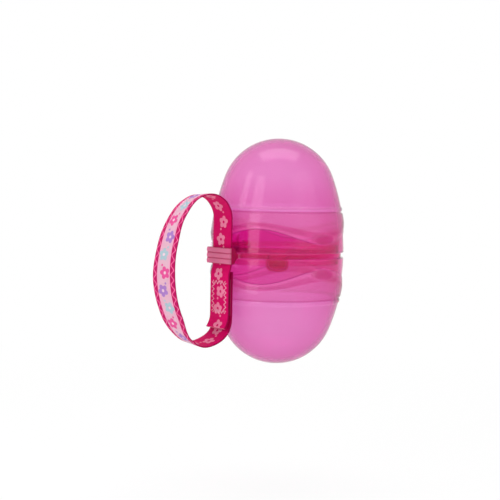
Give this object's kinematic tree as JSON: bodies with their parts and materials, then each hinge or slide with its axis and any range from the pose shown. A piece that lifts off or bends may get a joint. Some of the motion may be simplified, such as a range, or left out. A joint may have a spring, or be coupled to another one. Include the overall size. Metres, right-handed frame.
{
  "type": "pacifier case",
  "caption": "Egg-shaped translucent soother case: two domed lids hinged to a middle divider, with a printed ribbon loop to hang it from a bar.",
  "frame": {"origin": "inside of the strap loop at its far end from the case, where it hangs on a bar", "axes": "+Z along the case's long axis towards the upper lid, +X from the strap to the case, -Y towards the thumb scoops and +Y towards the hinge"},
  "size_m": [0.1026, 0.0697, 0.11],
  "materials": {
    "lid_plastic": "translucent pink moulded plastic, polished",
    "divider_plastic": "crimson moulded plastic, polished",
    "pin_plastic": "crimson plastic rod",
    "ribbon": "printed woven ribbon, pale on one face and crimson on the other",
    "hook_tape": "hook tape",
    "loop_tape": "loop tape"
  },
  "bodies": {
    "divider_and_strap": {"divider": "divider_plastic", "upper_hinge_pin": "pin_plastic", "lower_hinge_pin": "pin_plastic", "strap_ribbon": "ribbon", "hook_patch": "hook_tape", "loop_patch": "loop_tape"},
    "upper_lid": {"upper_shell": "lid_plastic"},
    "lower_lid": {"lower_shell": "lid_plastic"}
  },
  "joints": [
    {"name": "upper_lid_hinge", "type": "hinge", "parent": "divider_and_strap", "child": "upper_lid", "pos_m": [0.06935, 0.0348, 0.01235], "axis": [-1, 0, 0], "range_deg": [0, 90]},
    {"name": "lower_lid_hinge", "type": "hinge", "parent": "divider_and_strap", "child": "lower_lid", "pos_m": [0.06935, 0.0348, 0.00765], "axis": [1, 0, 0], "range_deg": [0, 90]}
  ]
}
